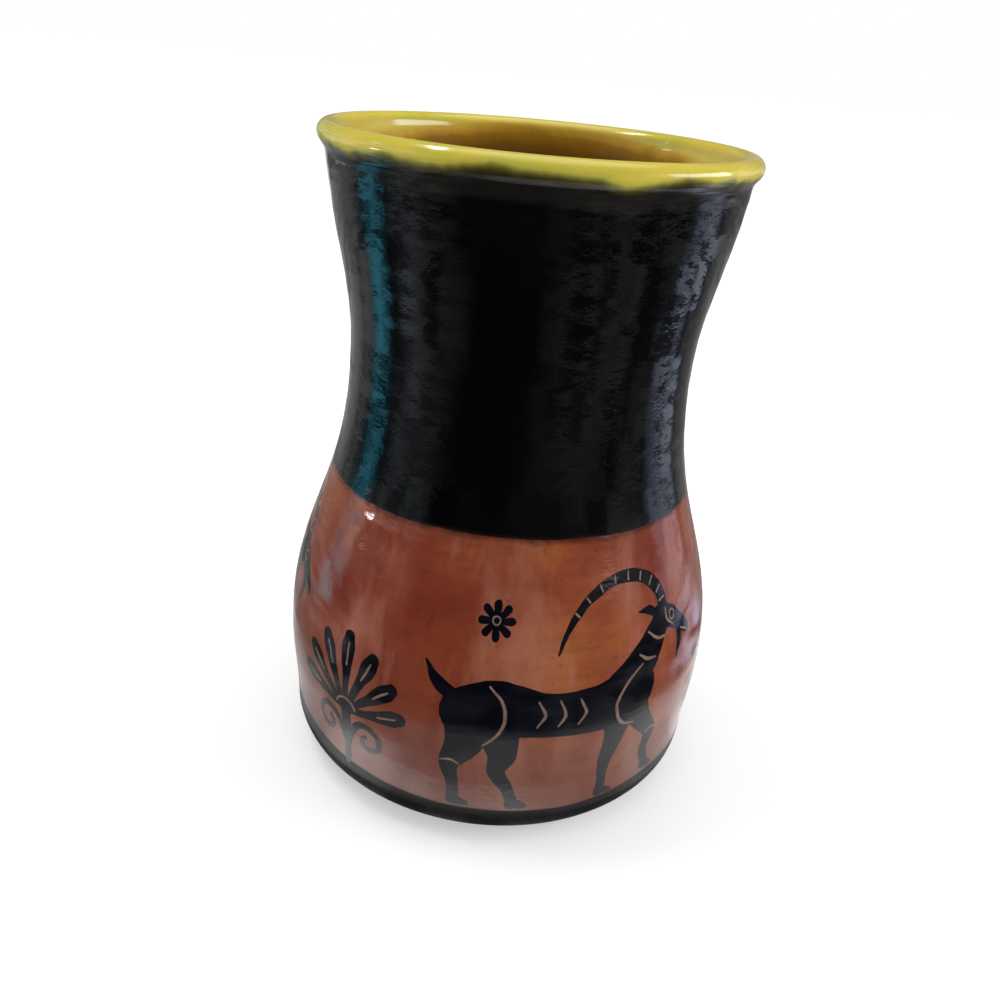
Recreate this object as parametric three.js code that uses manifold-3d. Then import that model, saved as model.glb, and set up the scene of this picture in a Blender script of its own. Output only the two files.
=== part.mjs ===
// A hand-thrown pottery vase with a rolled lip, a waisted neck and a round belly.
// Millimetres, +Z up. The origin is the centre of the flat base, which stands on z = 0.
// A hollow clay body carries four thin fired coats, and a painted frieze goes round its belly.
import * as THREE from "three";
import { mergeVertices } from "three/addons/utils/BufferGeometryUtils.js";
import { TessellateModifier } from "three/addons/modifiers/TessellateModifier.js";
import Module from "manifold-3d";

// Clay body, bare.
const CLAY_HEIGHT = 158;
const BASE_RADIUS = 42.2; // flat underside
const FOOT_RADIUS = 53.4; // where the rounded foot turns into the wall
const FOOT_HEIGHT = 11.7;
const BELLY_RADIUS = 54.9;
const BELLY_HEIGHT = 33.7;
const WAIST_RADIUS = 41.1;
const WAIST_HEIGHT = 107.8;
const THROAT_RADIUS = 47.7; // just under the rolled lip
const THROAT_DROP = 5.2; // from the top of the lip down to the throat
const FLARE_ANGLE = 6.7; // degrees, how far the neck leans out at the throat
const RIM_RADIUS = 49.5;
const LIP_ROLL_RADIUS = 2.1;
const WALL_THICKNESS = 4.4;
const FLOOR_THICKNESS = 7;
const FLOOR_CORNER = 12; // rounding between the floor and the inside wall

// How far each curve of the outline holds its end direction, as a share of its own rise.
const BELLY_EASE = 0.41;
const WAIST_EASE = 0.5;
const NECK_EASE = 0.37;
const THROAT_EASE = 0.49;
const FOOT_EASE = 0.33;

// Fired coats. Each lies on the clay over a hairline, and two coats meet at a hairline too.
const COAT_THICKNESS = 0.4;
const COAT_CLEARANCE = 0.1;
const COAT_EDGE_GAP = 0.2;
const FOOT_BAND_BOTTOM = 1.2;
const FOOT_BAND_TOP = 10;
const GLAZE_LINE = 78.7; // the belly coat ends and the neck glaze begins

// Painted frieze: slip over the belly coat.
const SLIP_THICKNESS = 0.3;
const SLIP_CLEARANCE = 0.2;
const FRIEZE_REPEATS = 3;
const FRIEZE_TURN = 22; // degrees from the front (-Y) to the middle of the first animal
const FRIEZE_FOOT_MARGIN = 1.2; // bare belly coat under the hooves
const FRIEZE_TOP_MARGIN = 8; // bare belly coat over the horns

// The drawing that the frieze repeats, on a flat sheet: one animal, one palmette and one rosette.
const SHEET_WIDTH = 116;
const SHEET_HEIGHT = 59.5;
const ANIMAL_HEIGHT = 59;
const ANIMAL_GRID_ROWS = 59; // squares of the grid that the animal is drawn on, from hoof to horn
const ROSETTE_X = -21;
const ROSETTE_Y = 50;
const ROSETTE_RADIUS = 4.6;
const ROSETTE_LEAVES = 8;
const LEAF_WIDTH = 1.9;
const PETALS = 7;
const PETAL_SPREAD = 25; // degrees from one petal to the next
const PETAL_LENGTH = 21;
const PETAL_WIDTH = 4.4;
const PETAL_SHORTENING = 1.1; // for each petal away from the middle one
const STEM_WIDTH = 2.4;
const HEART_Y = 17; // where the petals meet
const VOLUTE_X = 7;
const VOLUTE_Y = 10.6;
const VOLUTE_RADIUS = 5;
const VOLUTE_WIDTH = 2;

// Fineness of the facets.
const SIDES = 36;
const THIN_STROKE_STEP = 2.4; // straight pieces along the thinnest and the broadest brush strokes
const BROAD_STROKE_STEP = 6;
const CAP_STEPS = 3; // straight pieces round a brush end
const PATCH_EDGE = 8; // longest facet edge on a painted patch

const TURN = 2 * Math.PI;
const throatHeight = CLAY_HEIGHT - THROAT_DROP;
const coatRise = COAT_CLEARANCE + COAT_THICKNESS;
const slipBase = coatRise + SLIP_CLEARANCE;
const palmetteX = SHEET_WIDTH / 2; // midway between two animals

// The outside of the clay from the edge of the flat base up to the throat.
function outsideCurve() {
  const path = new THREE.Path();
  const bellyRise = WAIST_HEIGHT - BELLY_HEIGHT;
  const neckRise = throatHeight - WAIST_HEIGHT;
  const footRise = BELLY_HEIGHT - FOOT_HEIGHT;
  const flare = THREE.MathUtils.degToRad(FLARE_ANGLE);
  const lean = neckRise * THROAT_EASE;
  path.moveTo(BASE_RADIUS, 0);
  path.absellipse(BASE_RADIUS, FOOT_HEIGHT, FOOT_RADIUS - BASE_RADIUS, FOOT_HEIGHT, -Math.PI / 2, 0);
  path.bezierCurveTo(
    FOOT_RADIUS, FOOT_HEIGHT + footRise * FOOT_EASE,
    BELLY_RADIUS, BELLY_HEIGHT - footRise * FOOT_EASE,
    BELLY_RADIUS, BELLY_HEIGHT,
  );
  path.bezierCurveTo(
    BELLY_RADIUS, BELLY_HEIGHT + bellyRise * BELLY_EASE,
    WAIST_RADIUS, WAIST_HEIGHT - bellyRise * WAIST_EASE,
    WAIST_RADIUS, WAIST_HEIGHT,
  );
  path.bezierCurveTo(
    WAIST_RADIUS, WAIST_HEIGHT + neckRise * NECK_EASE,
    THROAT_RADIUS - lean * Math.sin(flare), throatHeight - lean * Math.cos(flare),
    THROAT_RADIUS, throatHeight,
  );
  return path.getPoints(100);
}

const outside = outsideCurve();

// The point of the outside at a height.
function outsideAt(z) {
  const next = outside.findIndex((point) => point.y >= z && point.y > 0);
  const low = outside[next - 1];
  const high = outside[next];
  return low.clone().lerp(high, (z - low.y) / (high.y - low.y));
}

// Points of the outside after one height, up to and with another, at even steps.
function climb(from, to, steps) {
  const points = [];
  for (let i = 1; i <= steps; i += 1) {
    points.push(outsideAt(from + ((to - from) * i) / steps));
  }
  return points;
}

// The wall's inside at a height: the outside moved in by the wall.
function insideAt(z) {
  const point = outsideAt(z);
  return new THREE.Vector2(point.x - WALL_THICKNESS, z);
}

// The rolled lip, from its lower outside edge over the top to its inside.
function lipLine() {
  const lip = new THREE.Path();
  const x = RIM_RADIUS - LIP_ROLL_RADIUS;
  const z = CLAY_HEIGHT - LIP_ROLL_RADIUS;
  const top = Math.PI / 2;
  lip.absarc(x, z, LIP_ROLL_RADIUS, THREE.MathUtils.degToRad(-45), top);
  lip.absarc(x, z, LIP_ROLL_RADIUS, top, THREE.MathUtils.degToRad(190));
  return lip.getPoints(2);
}

// The whole outline of the clay, from the centre of the base, up the outside, over the lip, down the
// inside and along the floor to the axis. Marks name the places where coats end.
function clayOutline() {
  const line = [new THREE.Vector2(0, 0), new THREE.Vector2(BASE_RADIUS, 0)];
  const marks = {};
  let height = 0;
  const mark = (name) => {
    marks[name] = line.length - 1;
  };
  const rise = (to, steps) => {
    line.push(...climb(height, to, steps));
    height = to;
  };
  rise(FOOT_BAND_BOTTOM, 1);
  mark("bandStart");
  rise(FOOT_BAND_TOP, 4);
  mark("bandEnd");
  rise(FOOT_BAND_TOP + COAT_EDGE_GAP, 1);
  mark("bellyStart");
  rise(GLAZE_LINE, 8);
  mark("bellyEnd");
  rise(GLAZE_LINE + COAT_EDGE_GAP, 1);
  mark("neckStart");
  rise(throatHeight, 8);

  // The neck glaze runs on under the lip, and the mouth glaze takes over at the lip's edge.
  const lip = lipLine();
  const underLip = lip[0].clone().sub(line.at(-1)).normalize();
  line.push(lip[0].clone().addScaledVector(underLip, -COAT_EDGE_GAP));
  mark("neckEnd");
  line.push(lip[0]);
  mark("mouthStart");
  line.push(...lip.slice(1));

  const cornerTop = FLOOR_THICKNESS + FLOOR_CORNER;
  const insideSteps = 7;
  for (let i = 0; i < insideSteps; i += 1) {
    line.push(insideAt(throatHeight + ((cornerTop - throatHeight) * i) / insideSteps));
  }
  const corner = new THREE.Path();
  const cornerX = insideAt(cornerTop).x - FLOOR_CORNER;
  corner.absarc(cornerX, cornerTop, FLOOR_CORNER, 0, -Math.PI / 2, true);
  line.push(...corner.getPoints(2));
  line.push(new THREE.Vector2(0, FLOOR_THICKNESS));
  return { line, marks };
}

const clay = clayOutline();

// A stretch of the clay's outline, moved away from the clay.
function liftedLine(from, to, distance) {
  const lifted = [];
  for (let i = from; i <= to; i += 1) {
    const before = clay.line[Math.max(i - 1, 0)];
    const after = clay.line[Math.min(i + 1, clay.line.length - 1)];
    const along = after.clone().sub(before).normalize();
    const away = new THREE.Vector2(along.y, -along.x);
    const point = clay.line[i].clone().addScaledVector(away, distance);
    lifted.push(i === clay.line.length - 1 ? point.setX(0) : point);
  }
  return lifted;
}

// A solid of revolution about Z.
function turned(profile) {
  return new THREE.LatheGeometry(profile, SIDES).rotateX(Math.PI / 2);
}

// A coat over a stretch of the clay that ends on the wall at both ends.
function ringCoat(from, to) {
  const outer = liftedLine(from, to, coatRise);
  const inner = liftedLine(from, to, COAT_CLEARANCE).reverse();
  return turned([...outer, ...inner, outer[0]]);
}

// The coat over the lip and the whole inside, which closes over the floor.
function mouthCoat() {
  const last = clay.line.length - 1;
  const inner = liftedLine(clay.marks.mouthStart, last, COAT_CLEARANCE).reverse();
  const outer = liftedLine(clay.marks.mouthStart, last, coatRise);
  return turned([...inner, ...outer]);
}

// Brush strokes of a walking ibex. Each point is [across, up, stroke width], in squares of its grid.
function animalStrokes() {
  const trunk = [
    [-26, 28, 13], [-19, 29.5, 14.5], [-8, 28, 11.6],
    [4, 28, 12.4], [12, 29.4, 14.4], [15.4, 30.4, 13.6],
  ];
  const neck = [[12, 31.4, 12], [18, 37, 10], [22.5, 42.5, 7.4], [25.5, 46, 6.4]];
  const head = [[24.8, 46, 6.4], [29, 44.6, 5.6], [33.6, 41.4, 3.8], [36.4, 39.2, 3]];
  const beard = [[32.4, 41, 2.6], [32.2, 37, 2], [31, 33.4, 0.5]];
  const horn = [
    [26, 47.4, 3.6], [24.6, 52.6, 3.4], [18.6, 57, 3.1], [10, 57.6, 2.7],
    [2, 54, 2.2], [-3.4, 48, 1.5], [-5.6, 42.6, 0.5],
  ];
  const ear = [[24, 46.6, 1.2], [20.6, 48.6, 2.2], [17, 49, 0.5]];
  const tail = [[-29, 31.6, 3.6], [-33.4, 34.6, 3], [-36.4, 39, 0.6]];
  const nearHindLeg = [
    [-24.6, 26.4, 13.4], [-26.4, 18.8, 8.6], [-29.2, 13, 4.9], [-28.4, 7.6, 3.2], [-27.8, 2.4, 3],
  ];
  const farHindLeg = [
    [-19, 25, 11], [-17, 17.4, 7.2], [-18, 11.8, 4.4], [-15.2, 6.8, 3.1], [-13.4, 2.4, 2.9],
  ];
  const nearForeLeg = [
    [11.6, 27, 10], [11, 19, 6.2], [9.6, 11.6, 4.1], [9.8, 6.4, 2.9], [10, 2.4, 2.9],
  ];
  const farForeLeg = [
    [15, 27.4, 9.4], [19.4, 20.6, 5.9], [23.4, 15.4, 4.3], [22.8, 9.8, 3.1], [25, 4.6, 2.8],
  ];
  const hooves = [
    [[-28, 1.7, 3.2], [-24.8, 1, 1.6]],
    [[-13.6, 1.7, 3.2], [-10.4, 1, 1.6]],
    [[9.8, 1.7, 3.2], [13, 1, 1.6]],
    [[24.8, 3.8, 3.1], [28, 2.6, 1.6]],
  ];
  const legs = [nearHindLeg, farHindLeg, nearForeLeg, farForeLeg, ...hooves];
  const strokes = [trunk, neck, head, beard, horn, ear, tail, ...legs];
  const square = ANIMAL_HEIGHT / ANIMAL_GRID_ROWS;
  return strokes.map((stroke) => stroke.map((point) => point.map((squares) => squares * square)));
}

// A stem with two volutes and a fan of petals.
function palmetteStrokes() {
  const stem = [
    [0, STEM_WIDTH * 0.375, STEM_WIDTH * 0.75],
    [0, HEART_Y * 0.47, STEM_WIDTH],
    [0, HEART_Y + STEM_WIDTH * 0.2, STEM_WIDTH * 1.5],
  ];
  const strokes = [stem];
  const middle = (PETALS - 1) / 2;
  for (let i = 0; i < PETALS; i += 1) {
    const angle = THREE.MathUtils.degToRad(90 + (i - middle) * PETAL_SPREAD);
    const length = PETAL_LENGTH - PETAL_SHORTENING * Math.abs(i - middle);
    const at = (share, thickness) => [
      length * share * Math.cos(angle),
      HEART_Y + length * share * Math.sin(angle),
      PETAL_WIDTH * thickness,
    ];
    strokes.push([at(0.024, 0.36), at(0.45, 0.55), at(0.8, 1), at(0.95, 0.77)]);
  }
  for (const side of [-1, 1]) {
    const volute = [[0, HEART_Y * 0.33, VOLUTE_WIDTH * 0.9]];
    const steps = 9;
    for (let i = 0; i <= steps; i += 1) {
      const share = i / steps;
      const angle = THREE.MathUtils.degToRad(170 - 400 * share);
      const radius = VOLUTE_RADIUS * (1 - 0.74 * share);
      const across = side * (VOLUTE_X + radius * Math.cos(angle));
      volute.push([across, VOLUTE_Y + radius * Math.sin(angle), VOLUTE_WIDTH * (1 - 0.4 * share)]);
    }
    strokes.push(volute);
  }
  return strokes;
}

// A ring of leaves that meet in the middle.
function rosetteStrokes() {
  const strokes = [];
  for (let i = 0; i < ROSETTE_LEAVES; i += 1) {
    const angle = (TURN * i) / ROSETTE_LEAVES;
    const at = (share, thickness) => {
      const distance = ROSETTE_RADIUS * share;
      return [distance * Math.cos(angle), distance * Math.sin(angle), LEAF_WIDTH * thickness];
    };
    strokes.push([at(0.04, 0.47), at(0.55, 0.9), at(0.8, 1)]);
  }
  return strokes;
}

// The outline of one brush stroke, with round ends.
function strokeShape(stroke) {
  const brushPoints = stroke.map((point) => new THREE.Vector3(...point));
  const curve = new THREE.CatmullRomCurve3(brushPoints, false, "catmullrom", 0.5);
  const meanWidth = stroke.reduce((sum, point) => sum + point[2], 0) / stroke.length;
  const step = THREE.MathUtils.clamp(1.5 * meanWidth, THIN_STROKE_STEP, BROAD_STROKE_STEP);
  const steps = Math.max(stroke.length - 1, Math.round(curve.getLength() / step));
  const spine = curve.getSpacedPoints(steps);
  const left = [];
  const right = [];
  const headings = spine.map((point, i) => {
    const before = spine[Math.max(i - 1, 0)];
    const after = spine[Math.min(i + 1, spine.length - 1)];
    return Math.atan2(after.y - before.y, after.x - before.x);
  });
  const edge = (point, angle) => new THREE.Vector2(
    point.x + (point.z / 2) * Math.cos(angle),
    point.y + (point.z / 2) * Math.sin(angle),
  );
  spine.forEach((point, i) => {
    left.push(edge(point, headings[i] + Math.PI / 2));
    right.unshift(edge(point, headings[i] - Math.PI / 2));
  });
  const cap = (point, start) => {
    const points = [];
    for (let i = 1; i < CAP_STEPS; i += 1) {
      points.push(edge(point, start - (Math.PI * i) / CAP_STEPS));
    }
    return points;
  };
  const tip = cap(spine.at(-1), headings.at(-1) + Math.PI / 2);
  const tail = cap(spine[0], headings[0] - Math.PI / 2);
  return new THREE.Shape([...left, ...tip, ...right, ...tail]);
}

const wasm = await Module();
wasm.setup();

// A closed three.js geometry as a solid that can be joined.
function solid(geometry) {
  const bare = geometry.clone();
  bare.deleteAttribute("normal");
  bare.deleteAttribute("uv");
  const merged = mergeVertices(bare, 1e-4);
  return new wasm.Manifold(new wasm.Mesh({
    numProp: 3,
    vertProperties: merged.attributes.position.array,
    triVerts: new Uint32Array(merged.index.array),
  }));
}

// Strokes joined into one flat patch of slip, placed on the sheet.
function flatPatch(strokes, across, up) {
  const prisms = strokes.map((stroke) => solid(
    new THREE.ExtrudeGeometry(strokeShape(stroke), { depth: SLIP_THICKNESS, bevelEnabled: false }),
  ));
  const joined = prisms.reduce((whole, prism) => whole.add(prism)).getMesh();
  const geometry = new THREE.BufferGeometry();
  const corners = new THREE.BufferAttribute(Float32Array.from(joined.vertProperties), 3);
  geometry.setAttribute("position", corners);
  geometry.setIndex(new THREE.BufferAttribute(Uint32Array.from(joined.triVerts), 1));
  return geometry.toNonIndexed().translate(across, up, 0);
}

// Bends a flat patch round the belly: across becomes a turn about Z, and depth stands off the belly coat.
function painted(strokes, across, up) {
  const geometry = new TessellateModifier(PATCH_EDGE, 12).modify(flatPatch(strokes, across, up));
  const position = geometry.attributes.position;
  const friezeBottom = FOOT_BAND_TOP + COAT_EDGE_GAP + FRIEZE_FOOT_MARGIN;
  const friezeTop = GLAZE_LINE - FRIEZE_TOP_MARGIN;
  const rise = (friezeTop - friezeBottom) / SHEET_HEIGHT;
  for (let i = 0; i < position.count; i += 1) {
    const angle = ((TURN / FRIEZE_REPEATS) * position.getX(i)) / SHEET_WIDTH;
    const z = friezeBottom + position.getY(i) * rise;
    const below = outsideAt(z - 0.5);
    const above = outsideAt(z + 0.5);
    const along = above.clone().sub(below).normalize();
    const away = slipBase + position.getZ(i);
    const radius = outsideAt(z).x + away * along.y;
    position.setXYZ(i, radius * Math.sin(angle), -radius * Math.cos(angle), z - away * along.x);
  }
  geometry.deleteAttribute("normal");
  geometry.computeVertexNormals();
  return geometry;
}

const bareClay = new THREE.MeshStandardMaterial({ color: "#9a5a3c", roughness: 0.85, metalness: 0 });
const bellyGloss = new THREE.MeshStandardMaterial({ color: "#8f4a30", roughness: 0.25, metalness: 0 });
const blackGlaze = new THREE.MeshStandardMaterial({ color: "#0b0c10", roughness: 0.08, metalness: 0 });
const yellowGlaze = new THREE.MeshStandardMaterial({ color: "#c3a626", roughness: 0.1, metalness: 0 });
const blackSlip = new THREE.MeshStandardMaterial({ color: "#15171d", roughness: 0.25, metalness: 0 });

const vase = new THREE.Group();

function add(name, geometry, material, parent = vase) {
  const mesh = new THREE.Mesh(geometry, material);
  mesh.name = name;
  parent.add(mesh);
}

add("clay_body", turned(clay.line), bareClay);
add("foot_band", ringCoat(clay.marks.bandStart, clay.marks.bandEnd), blackSlip);
add("belly_coat", ringCoat(clay.marks.bellyStart, clay.marks.bellyEnd), bellyGloss);
add("neck_glaze", ringCoat(clay.marks.neckStart, clay.marks.neckEnd), blackGlaze);
add("mouth_glaze", mouthCoat(), yellowGlaze);

const animal = painted(animalStrokes(), 0, 0);
const palmette = painted(palmetteStrokes(), palmetteX, 0);
const rosette = painted(rosetteStrokes(), ROSETTE_X, ROSETTE_Y);
for (let i = 0; i < FRIEZE_REPEATS; i += 1) {
  const repeat = new THREE.Group();
  repeat.rotation.z = THREE.MathUtils.degToRad(FRIEZE_TURN) + (TURN * i) / FRIEZE_REPEATS;
  vase.add(repeat);
  add(`painted_ibex_${i + 1}`, animal, blackSlip, repeat);
  add(`painted_palmette_${i + 1}`, palmette, blackSlip, repeat);
  add(`painted_rosette_${i + 1}`, rosette, blackSlip, repeat);
}

export default vase;
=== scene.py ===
"""Looks of a hand-thrown pottery vase: clay, glazes, painted slip, studio and camera.

Sizes are in millimetres and become metres only where a mesh is made.
The pot stands on z = 0 with its axis on Z, and the camera is on the -Y side.
Angles round the pot start at -Y and turn towards +X.
"""

import math

import bmesh
import bpy
import numpy as np
from mathutils import Matrix, Quaternion, Vector, noise


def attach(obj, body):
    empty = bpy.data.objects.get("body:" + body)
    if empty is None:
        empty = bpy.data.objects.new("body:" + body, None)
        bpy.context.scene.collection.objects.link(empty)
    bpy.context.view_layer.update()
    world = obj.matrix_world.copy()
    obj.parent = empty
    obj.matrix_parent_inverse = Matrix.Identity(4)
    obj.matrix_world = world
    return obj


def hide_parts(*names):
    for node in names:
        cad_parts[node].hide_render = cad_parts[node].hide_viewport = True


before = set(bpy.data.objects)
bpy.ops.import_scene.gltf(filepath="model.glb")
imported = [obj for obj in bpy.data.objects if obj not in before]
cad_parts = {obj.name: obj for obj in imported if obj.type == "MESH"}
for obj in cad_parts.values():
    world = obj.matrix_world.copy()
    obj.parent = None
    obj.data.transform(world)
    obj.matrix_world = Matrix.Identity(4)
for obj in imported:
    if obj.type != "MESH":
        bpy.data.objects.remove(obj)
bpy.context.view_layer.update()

MM = 0.001
TURN = 2 * math.pi

# Clay outline, as in the CAD model.
CLAY_HEIGHT = 158.0
BASE_RADIUS = 42.2  # flat underside
FOOT_RADIUS = 53.4  # where the rounded foot turns into the wall
FOOT_HEIGHT = 11.7
BELLY_RADIUS = 54.9
BELLY_HEIGHT = 33.7
WAIST_RADIUS = 41.1
WAIST_HEIGHT = 107.8
THROAT_RADIUS = 47.7  # just under the rolled lip
THROAT_DROP = 5.2  # from the top of the lip down to the throat
THROAT_HEIGHT = CLAY_HEIGHT - THROAT_DROP
FLARE_ANGLE = math.radians(6.7)  # how far the neck leans out at the throat
RIM_RADIUS = 49.5
LIP_ROLL_RADIUS = 2.1
LIP_BLEND = 2.5  # below the throat, over which the wall runs into the rolled lip
UNDER_LIP = 2.0  # how far the mouth glaze runs down from the throat
WALL_THICKNESS = 4.4
FLOOR_THICKNESS = 7.0
FLOOR_CORNER = 12.0  # rounding between the floor and the inside wall

# How far each curve of the outline holds its end direction, as a share of its own rise.
BELLY_EASE = 0.41
WAIST_EASE = 0.5
NECK_EASE = 0.37
THROAT_EASE = 0.49
FOOT_EASE = 0.33

# Fired coats.
COAT_RISE = 0.5
COAT_BACK = 0.02  # from the clay to the back of an outside coat
MOUTH_COAT_BACK = 0.05
COAT_EDGE = 1.4  # width over which a coat thins out at its edge
FOOT_BAND_BOTTOM = 1.2
FOOT_BAND_TOP = 10.0
BAND_LINE = FOOT_BAND_TOP + 0.6  # the band's uneven edge lies a little over its CAD height
GLAZE_LINE = 78.7
MELT_LINE = 154.5  # where the yellow of the lip gives way to the black of the neck
ALL_YELLOW = 20.0  # a distance past the melt line at which the glaze is plain yellow
PALE_SIDES = 3.5  # how much deeper the pale rim reaches at the sides of the mouth

# Marks of the throwing.
FINE_RING = 0.022
COARSE_RING = 0.03
BELLY_RINGS = 0.25  # share of the rings that is left on the belly
RINGS_START = 84.0  # height over which the rings grow to their full depth
RINGS_GROWTH = 16.0
LEDGE_RISE = 0.05
LEDGE_HEIGHT = 149.4
LEDGE_WIDTH = 0.9
SWELLING_RISE = 0.09
SWELLING_HEIGHT = 74.6
SWELLING_ANGLE = -0.73
SWELLING_UP = 1.6
SWELLING_ROUND = 0.2
OVAL = 0.06
THREE_SIDED = 0.03

# Painted frieze.
FRIEZE_REPEATS = 3
FRIEZE_TURN = math.radians(22)
FRIEZE_FOOT_MARGIN = 1.4  # from the foot band's CAD height up to the hooves
FRIEZE_TOP_MARGIN = 8.0  # bare belly coat over the horns
FRIEZE_BOTTOM = FOOT_BAND_TOP + FRIEZE_FOOT_MARGIN
FRIEZE_TOP = GLAZE_LINE - FRIEZE_TOP_MARGIN
SHEET_WIDTH = 116.0
SHEET_HEIGHT = 59.5
ROSETTE_X = -21.0
ROSETTE_Y = 50.0
ROSETTE_RADIUS = 4.6
ROSETTE_LEAVES = 8
LEAF_WIDTH = 1.9
PETALS = 7
PETAL_SPREAD = math.radians(25)
PETAL_LENGTH = 21.0
PETAL_WIDTH = 4.4
PETAL_SHORTENING = 1.1
STEM_WIDTH = 2.4
HEART_Y = 17.0
VOLUTE_X = 7.0
VOLUTE_Y = 10.6
VOLUTE_RADIUS = 5.0
VOLUTE_WIDTH = 2.0
SLIP_LOW = COAT_RISE - 0.1  # the back of the paint lies inside the belly coat
SLIP_HIGH = COAT_RISE + 0.03
SCRATCH_HIGH = COAT_RISE + 0.02  # a scratched line lies a little lower than the paint
HAND_DRIFT = 0.22  # how far a brush line wanders
HAND_PACE = 0.35  # how quickly it does
HAND_SEED = 1  # a brush line wanders alike in every run

# Fineness of the meshes.
AROUND = 320  # points round the pot
COAT_STEP = 0.8  # between the rings of an outside coat
MOUTH_STEP = 0.35
MOUTH_BACK_STEP = 0.5
CLAY_STEP = 1.2
EASE_PASSES = 4
PATCH_CELL = 2.0  # widest cell of a painted patch
CARD_TURNS = 73  # points round a studio card


# Outline of the pot

def bezier(a, b, c, d, steps=120):
    """Points of a cubic curve from a to d, drawn towards b and c."""
    t = np.linspace(0, 1, steps)[:, None]
    a, b, c, d = (np.array(p, float) for p in (a, b, c, d))
    return (1 - t) ** 3 * a + 3 * t * (1 - t) ** 2 * b + 3 * t * t * (1 - t) * c + t ** 3 * d


def arc(centre, radius_x, radius_z, start, end, steps=60):
    """Points of an ellipse's arc between two angles in degrees."""
    angle = np.radians(np.linspace(start, end, steps))
    return np.stack([centre[0] + radius_x * np.cos(angle), centre[1] + radius_z * np.sin(angle)], 1)


def outside_line():
    """The clay's outside from the edge of the flat base up to the throat."""
    foot_rise = BELLY_HEIGHT - FOOT_HEIGHT
    belly_rise = WAIST_HEIGHT - BELLY_HEIGHT
    neck_rise = THROAT_HEIGHT - WAIST_HEIGHT
    lean = neck_rise * THROAT_EASE
    foot = arc((BASE_RADIUS, FOOT_HEIGHT), FOOT_RADIUS - BASE_RADIUS, FOOT_HEIGHT, -90, 0)
    side = bezier(
        (FOOT_RADIUS, FOOT_HEIGHT),
        (FOOT_RADIUS, FOOT_HEIGHT + foot_rise * FOOT_EASE),
        (BELLY_RADIUS, BELLY_HEIGHT - foot_rise * FOOT_EASE),
        (BELLY_RADIUS, BELLY_HEIGHT),
    )
    shoulder = bezier(
        (BELLY_RADIUS, BELLY_HEIGHT),
        (BELLY_RADIUS, BELLY_HEIGHT + belly_rise * BELLY_EASE),
        (WAIST_RADIUS, WAIST_HEIGHT - belly_rise * WAIST_EASE),
        (WAIST_RADIUS, WAIST_HEIGHT),
    )
    neck = bezier(
        (WAIST_RADIUS, WAIST_HEIGHT),
        (WAIST_RADIUS, WAIST_HEIGHT + neck_rise * NECK_EASE),
        (THROAT_RADIUS - lean * math.sin(FLARE_ANGLE), THROAT_HEIGHT - lean * math.cos(FLARE_ANGLE)),
        (THROAT_RADIUS, THROAT_HEIGHT),
    )
    return np.concatenate([foot, side[1:], shoulder[1:], neck[1:]])


OUTSIDE = outside_line()


def clay_radius(z):
    return np.interp(z, OUTSIDE[:, 1], OUTSIDE[:, 0])


def lifted(z, distance):
    """The clay's outside at a height, moved out along its normal."""
    slope = (clay_radius(z + 0.2) - clay_radius(z - 0.2)) / 0.4
    length = np.sqrt(1 + slope * slope)
    return clay_radius(z) + distance / length, z - distance * slope / length


def wave(phi, amplitude, turns, shifts):
    """A smooth irregular line round the pot."""
    total = sum(np.sin(n * phi + s) / (i + 1) for i, (n, s) in enumerate(zip(turns, shifts)))
    return amplitude * total


def turn_from(phi, angle):
    """How far round the pot a place lies from another, between -pi and pi."""
    return (phi - angle + math.pi) % TURN - math.pi


def hill(offset, width):
    """A smooth rise of height 1 where the offset is 0."""
    return np.exp(-(offset / width) ** 2)


def glaze_line(phi):
    """Height where the belly coat ends and the neck glaze begins."""
    return GLAZE_LINE + wave(phi, 0.22, (2, 5, 9, 17), (0.4, 1.9, 4.0, 0.8))


def band_line(phi):
    """Upper edge of the foot band, dipped unevenly, with rises at (angle, width, height)."""
    line = BAND_LINE + wave(phi, 0.2, (3, 6, 11, 23), (1.2, 3.3, 0.6, 2.0))
    for angle, width, height in ((-1.2, 0.65, 4.5), (1.05, 0.4, 2.2)):
        line = line + height * hill(turn_from(phi, angle), width)
    return line


def melt_line(phi):
    """Height where the yellow glaze runs out, with drips at (angle, width, length)."""
    line = MELT_LINE + wave(phi, 0.22, (4, 9, 16, 29), (0.2, 2.1, 5.0, 1.4))
    drips = (
        (-0.2, 0.23, -1.25), (0.38, 0.1, 0.9), (0.75, 0.25, -0.7), (-0.35, 0.1, 0.3), (-0.9, 0.07, 0.5),
        (1.5, 0.1, 0.8), (2.3, 0.12, 1.2), (3.6, 0.08, 0.8), (4.6, 0.1, 1.0),
    )
    for angle, width, length in drips:
        line = line - length * hill(turn_from(phi, angle), width)
    return line


def thrown(z, phi):
    """Marks of the throwing: spiral rings, a ledge under the lip, a swelling and a slight wobble."""
    fine = FINE_RING * np.sin(z * 1.05 + phi)
    coarse = COARSE_RING * np.sin(z * 0.41 - phi + 1.0)
    growth = np.clip((z - RINGS_START) / RINGS_GROWTH, 0, 1)
    rings = (fine + coarse) * (BELLY_RINGS + (1 - BELLY_RINGS) * growth)
    ledge = LEDGE_RISE * hill(z - LEDGE_HEIGHT, LEDGE_WIDTH)
    swelling = SWELLING_RISE * hill(z - SWELLING_HEIGHT, SWELLING_UP)
    swelling = swelling * hill(turn_from(phi, SWELLING_ANGLE), SWELLING_ROUND)
    oval = OVAL * np.sin(2 * phi + z * 0.02)
    three_sided = THREE_SIDED * np.sin(3 * phi + 1.3 + z * 0.05)
    return rings + ledge + swelling + oval + three_sided


# Meshes

def angles():
    return np.arange(AROUND) * TURN / AROUND


def placed(name, mesh):
    piece = bpy.data.objects.new(name, mesh)
    bpy.context.collection.objects.link(piece)
    return piece


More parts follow.
